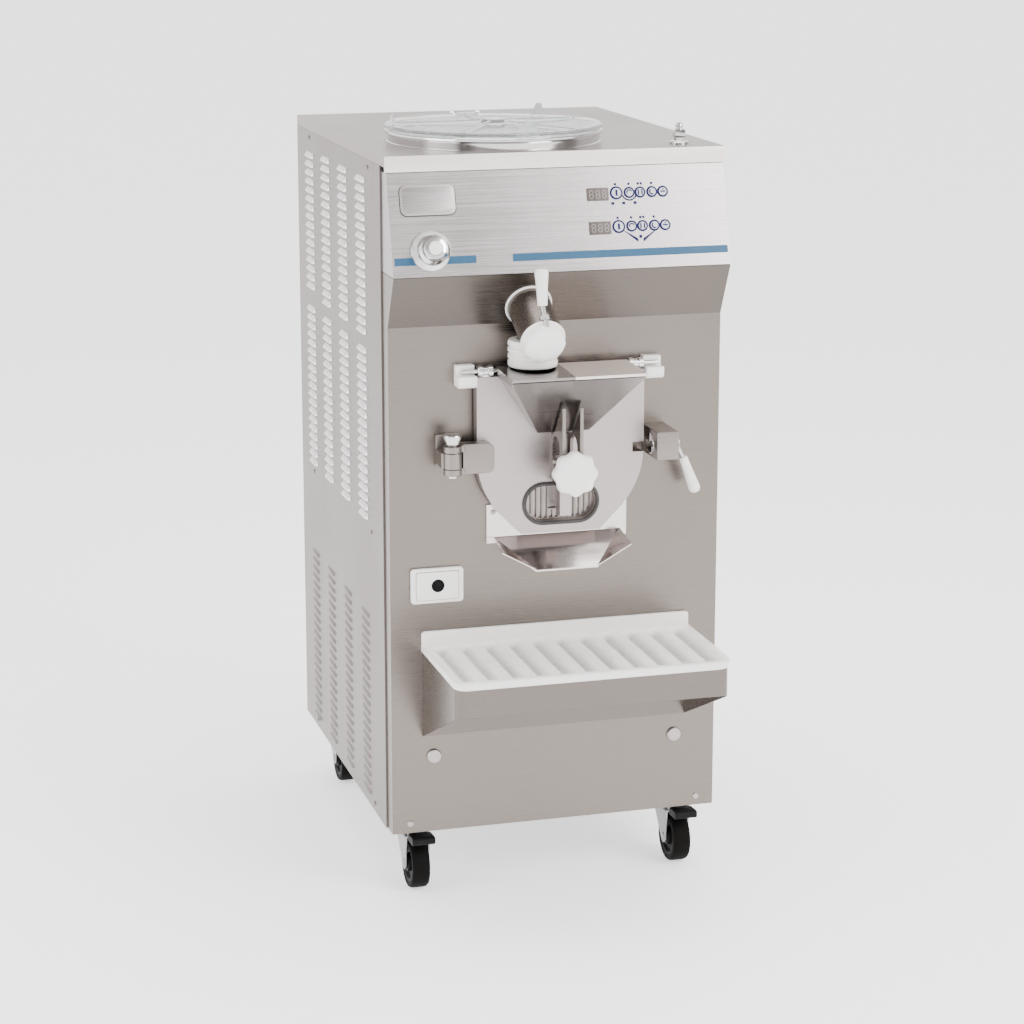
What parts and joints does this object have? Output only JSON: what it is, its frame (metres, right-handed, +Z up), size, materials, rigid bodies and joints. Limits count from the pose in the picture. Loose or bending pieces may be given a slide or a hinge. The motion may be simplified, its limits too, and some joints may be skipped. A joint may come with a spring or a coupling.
{
  "type": "soft serve machine",
  "caption": "Floor-standing steel ice cream batch freezer with top mixing tank, hinged freezer door, dispensing gate, drip shelf and casters.",
  "frame": {"origin": "floor level, centre of the bounding box footprint", "axes": "+Z up, front with the door faces -Y, +X to the right seen from the front"},
  "size_m": [0.65, 1.048, 1.478],
  "materials": {
    "brushed": "satin brushed stainless sheet",
    "bright": "bright polished steel",
    "machined": "fine ground stainless",
    "zinc": "zinc plated steel",
    "white": "food grade plastic, satin",
    "black": "matt black",
    "tyre": "grey rubber tread",
    "seal": "dark grey rubber",
    "clear": "clear plastic",
    "fins": "finned heat exchanger"
  },
  "bodies": {
    "cabinet": {"chassis": "zinc", "front_panel": "brushed", "header_panel": "brushed", "top_panel": "brushed", "left_panel": "brushed", "right_panel": "brushed", "rear_panel": "brushed", "badge_plate": "machined", "control_upper": "white", "control_lower": "white", "tap_body": "bright", "hose_fitting": "bright", "mixing_tank": "brushed", "agitator_gearmotor": "zinc", "transfer_tube": "brushed", "tube_seal": "white", "spout_cuff": "white", "freezing_cylinder": "bright", "beater_gearmotor": "zinc", "compressor": "black", "condenser": "fins", "rod_block_left": "white", "rod_block_right": "white", "hinge_bracket": "machined", "hinge_pin": "bright", "latch_block": "machined", "chute": "bright", "socket_box": "white", "shelf": "brushed"},
    "tap_button": {"tap_button": "machined"},
    "tank_lid": {"tank_lid": "clear"},
    "agitator": {"agitator": "bright"},
    "valve": {"valve_plug": "white", "valve_lever": "bright", "valve_grip": "white"},
    "beater": {"beater": "bright"},
    "fan": {"cooling_fan": "black"},
    "door": {"door_plate": "machined", "hopper": "brushed", "lid_rod": "bright", "hinge_arm": "machined", "gate_bracket": "machined", "outlet_grid": "machined", "outlet_seal": "seal"},
    "hopper_flap": {"lid_flap": "machined"},
    "gate": {"gate_shutter": "machined"},
    "gate_knob": {"gate_knob": "white"},
    "latch": {"latch_shaft": "bright", "latch_grip": "white"},
    "tray": {"drip_tray": "white"},
    "fork_front_left": {"caster_fork_front_left": "zinc"},
    "wheel_front_left": {"caster_wheel_front_left": "tyre"},
    "pedal_front_left": {"brake_pedal_front_left": "black"},
    "fork_front_right": {"caster_fork_front_right": "zinc"},
    "wheel_front_right": {"caster_wheel_front_right": "tyre"},
    "pedal_front_right": {"brake_pedal_front_right": "black"},
    "fork_rear_left": {"caster_fork_rear_left": "zinc"},
    "wheel_rear_left": {"caster_wheel_rear_left": "tyre"},
    "fork_rear_right": {"caster_fork_rear_right": "zinc"},
    "wheel_rear_right": {"caster_wheel_rear_right": "tyre"}
  },
  "joints": [
    {"name": "door_swing", "type": "hinge", "parent": "cabinet", "child": "door", "pos_m": [-0.215, -0.321, 0.865], "axis": [0, 0, -1], "range_deg": [0, 115]},
    {"name": "hopper_flap_lift", "type": "hinge", "parent": "door", "child": "hopper_flap", "pos_m": [0.06, -0.291, 1.023], "axis": [-1, 0, 0], "range_deg": [0, 75]},
    {"name": "gate_lift", "type": "slide", "parent": "door", "child": "gate", "axis": [0, 0, 1], "range_m": [0, 0.05]},
    {"name": "gate_knob_turn", "type": "hinge", "parent": "gate", "child": "gate_knob", "pos_m": [0, -0.386, 0.841], "axis": [0, -1, 0], "range_deg": [0, 180]},
    {"name": "latch_turn", "type": "hinge", "parent": "cabinet", "child": "latch", "pos_m": [0.191, -0.3136, 0.873], "axis": [-1, 0, 0], "range_deg": [0, 180]},
    {"name": "valve_turn", "type": "hinge", "parent": "cabinet", "child": "valve", "pos_m": [-0.06, -0.2835, 1.14065], "axis": [0, -0.8926, -0.4508], "range_deg": [0, 90]},
    {"name": "tank_lid_lift", "type": "hinge", "parent": "cabinet", "child": "tank_lid", "pos_m": [-0.062, 0.162, 1.448], "axis": [-1, 0, 0], "range_deg": [0, 80]},
    {"name": "tap_button_press", "type": "slide", "parent": "cabinet", "child": "tap_button", "axis": [0, 0.9619, -0.2733], "range_m": [0, 0.004], "stiffness_N_per_m": 400},
    {"name": "agitator_spin", "type": "hinge", "parent": "cabinet", "child": "agitator", "pos_m": [-0.062, -0.052, 1.12], "axis": [0, 0, 1], "continuous": true},
    {"name": "beater_spin", "type": "hinge", "parent": "cabinet", "child": "beater", "pos_m": [0, -0.066, 0.863], "axis": [0, 1, 0], "continuous": true},
    {"name": "fan_spin", "type": "hinge", "parent": "cabinet", "child": "fan", "pos_m": [0.16, 0.317, 0.31], "axis": [0, 1, 0], "continuous": true},
    {"name": "tray_lift", "type": "slide", "parent": "cabinet", "child": "tray", "axis": [0, 0, 1], "range_m": [0, 0.05]},
    {"name": "swivel_front_left", "type": "hinge", "parent": "cabinet", "child": "fork_front_left", "pos_m": [-0.264, -0.171, 0.11], "axis": [0, 0, 1], "continuous": true},
    {"name": "roll_front_left", "type": "hinge", "parent": "fork_front_left", "child": "wheel_front_left", "pos_m": [-0.264, -0.211, 0.05], "axis": [1, 0, 0], "continuous": true},
    {"name": "brake_front_left", "type": "hinge", "parent": "fork_front_left", "child": "pedal_front_left", "pos_m": [-0.264, -0.238, 0.113], "axis": [1, 0, 0], "range_deg": [0, 10]},
    {"name": "swivel_front_right", "type": "hinge", "parent": "cabinet", "child": "fork_front_right", "pos_m": [0.264, -0.171, 0.11], "axis": [0, 0, 1], "continuous": true},
    {"name": "roll_front_right", "type": "hinge", "parent": "fork_front_right", "child": "wheel_front_right", "pos_m": [0.264, -0.211, 0.05], "axis": [1, 0, 0], "continuous": true},
    {"name": "brake_front_right", "type": "hinge", "parent": "fork_front_right", "child": "pedal_front_right", "pos_m": [0.264, -0.238, 0.113], "axis": [1, 0, 0], "range_deg": [0, 10]},
    {"name": "swivel_rear_left", "type": "hinge", "parent": "cabinet", "child": "fork_rear_left", "pos_m": [-0.264, 0.464, 0.11], "axis": [0, 0, 1], "continuous": true},
    {"name": "roll_rear_left", "type": "hinge", "parent": "fork_rear_left", "child": "wheel_rear_left", "pos_m": [-0.264, 0.424, 0.05], "axis": [1, 0, 0], "continuous": true},
    {"name": "swivel_rear_right", "type": "hinge", "parent": "cabinet", "child": "fork_rear_right", "pos_m": [0.264, 0.464, 0.11], "axis": [0, 0, 1], "continuous": true},
    {"name": "roll_rear_right", "type": "hinge", "parent": "fork_rear_right", "child": "wheel_rear_right", "pos_m": [0.264, 0.424, 0.05], "axis": [1, 0, 0], "continuous": true}
  ]
}
